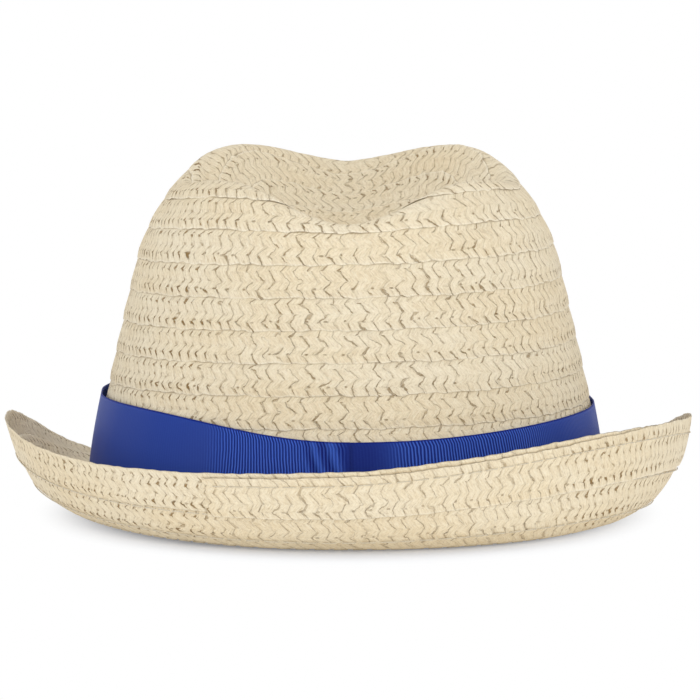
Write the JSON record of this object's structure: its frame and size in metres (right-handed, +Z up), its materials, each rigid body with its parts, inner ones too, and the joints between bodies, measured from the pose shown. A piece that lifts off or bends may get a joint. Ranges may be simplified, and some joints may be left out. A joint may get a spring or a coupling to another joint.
{
  "type": "straw fedora hat",
  "caption": "Short-brim straw fedora of spirally sewn paper braid, with a dented crown, turned-up back brim and a grosgrain hatband.",
  "frame": {"origin": "centre of the hat's outline, on the table that it stands on", "axes": "+X to the wearer's right, +Y to the front of the hat, +Z up through the crown"},
  "size_m": [0.2388, 0.281, 0.1265],
  "materials": {
    "straw": "matt plaited paper straw, cream",
    "grosgrain": "ribbed ribbon, royal blue",
    "lining": "woven cotton tape, cream"
  },
  "bodies": {
    "hat": {"tip_coil": "straw", "crown_turn_01": "straw", "crown_turn_02": "straw", "crown_turn_03": "straw", "crown_turn_04": "straw", "crown_turn_05": "straw", "crown_turn_06": "straw", "crown_turn_07": "straw", "crown_turn_08": "straw", "crown_turn_09": "straw", "crown_turn_10": "straw", "crown_turn_11": "straw", "crown_turn_12": "straw", "crown_turn_13": "straw", "crown_turn_14": "straw", "crown_turn_15": "straw", "brim_turn_01": "straw", "brim_turn_02": "straw", "brim_turn_03": "straw", "brim_turn_04": "straw", "sweatband": "lining"},
    "hatband": {"hatband_ribbon": "grosgrain"}
  },
  "joints": [
    {"name": "ribbon_lift", "type": "slide", "parent": "hat", "child": "hatband", "axis": [0, 0, 1], "range_m": [0, 0.12]}
  ]
}
